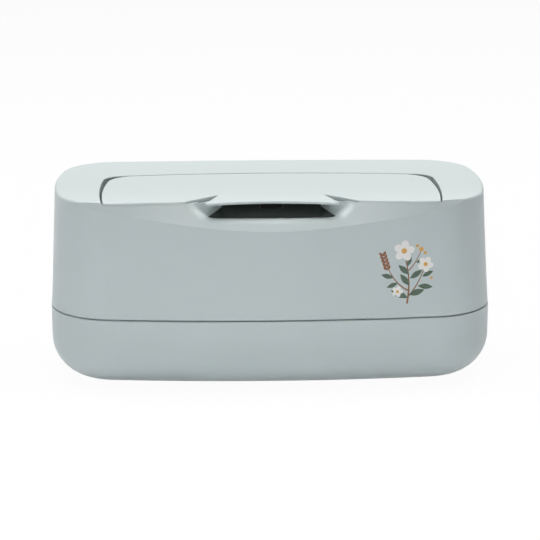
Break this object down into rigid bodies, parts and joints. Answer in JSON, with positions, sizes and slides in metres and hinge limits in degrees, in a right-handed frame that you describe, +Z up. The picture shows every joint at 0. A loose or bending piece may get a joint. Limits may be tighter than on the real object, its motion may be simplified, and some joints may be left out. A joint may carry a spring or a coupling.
{
  "type": "wipes dispenser box",
  "caption": "Rounded plastic box for baby wipes, with a flush hinged lid, finger recess, push latch, lift-off top shell and a weighted press plate inside.",
  "frame": {"origin": "middle of the box's outline, on the surface that the feet stand on", "axes": "+Z up, +X to the right, and the front with the lid's lifting tab faces -Y"},
  "size_m": [0.225, 0.1146, 0.0959],
  "materials": {
    "tray_pp": "satin injection-moulded polypropylene, pale grey-green",
    "shell_pp": "satin injection-moulded polypropylene, pale grey-green",
    "lid_pp": "satin injection-moulded polypropylene, pale grey-green",
    "button_pom": "matte moulded acetal, grey",
    "plate_pp": "matte moulded polypropylene, off-white",
    "seal_silicone": "matte silicone",
    "foot_tpe": "matte thermoplastic elastomer",
    "pin_steel": "drawn stainless steel",
    "spring_steel": "stamped spring steel",
    "screw_steel": "zinc-plated steel",
    "ballast_steel": "rolled steel bar"
  },
  "bodies": {
    "tray": {"base_tray": "tray_pp", "foot_front_left": "foot_tpe", "foot_rear_left": "foot_tpe", "foot_front_right": "foot_tpe", "foot_rear_right": "foot_tpe", "rim_seal": "seal_silicone"},
    "shell": {"top_shell": "shell_pp", "lid_seal": "seal_silicone", "hinge_pin_left": "pin_steel", "hinge_pin_right": "pin_steel", "latch_retainer": "button_pom", "retainer_screw_left": "screw_steel", "retainer_screw_right": "screw_steel", "latch_spring": "spring_steel"},
    "lid": {"lid": "lid_pp"},
    "latch_button": {"latch_button": "button_pom"},
    "press_plate": {"press_plate": "plate_pp", "press_plate_cover": "plate_pp", "ballast_left": "ballast_steel", "ballast_right": "ballast_steel"}
  },
  "joints": [
    {"name": "shell_lift", "type": "slide", "parent": "tray", "child": "shell", "axis": [0, 0, 1], "range_m": [0, 0.08]},
    {"name": "lid_hinge", "type": "hinge", "parent": "shell", "child": "lid", "pos_m": [0, 0.01, 0.0926], "axis": [-1, 0, 0], "range_deg": [0, 95]},
    {"name": "latch_press", "type": "slide", "parent": "shell", "child": "latch_button", "axis": [0, 1, 0], "range_m": [0, 0.002], "stiffness_N_per_m": 1200, "deforming": ["latch_spring"]},
    {"name": "press_plate_rise", "type": "slide", "parent": "tray", "child": "press_plate", "axis": [0, 0, 1], "range_m": [0, 0.055]}
  ]
}
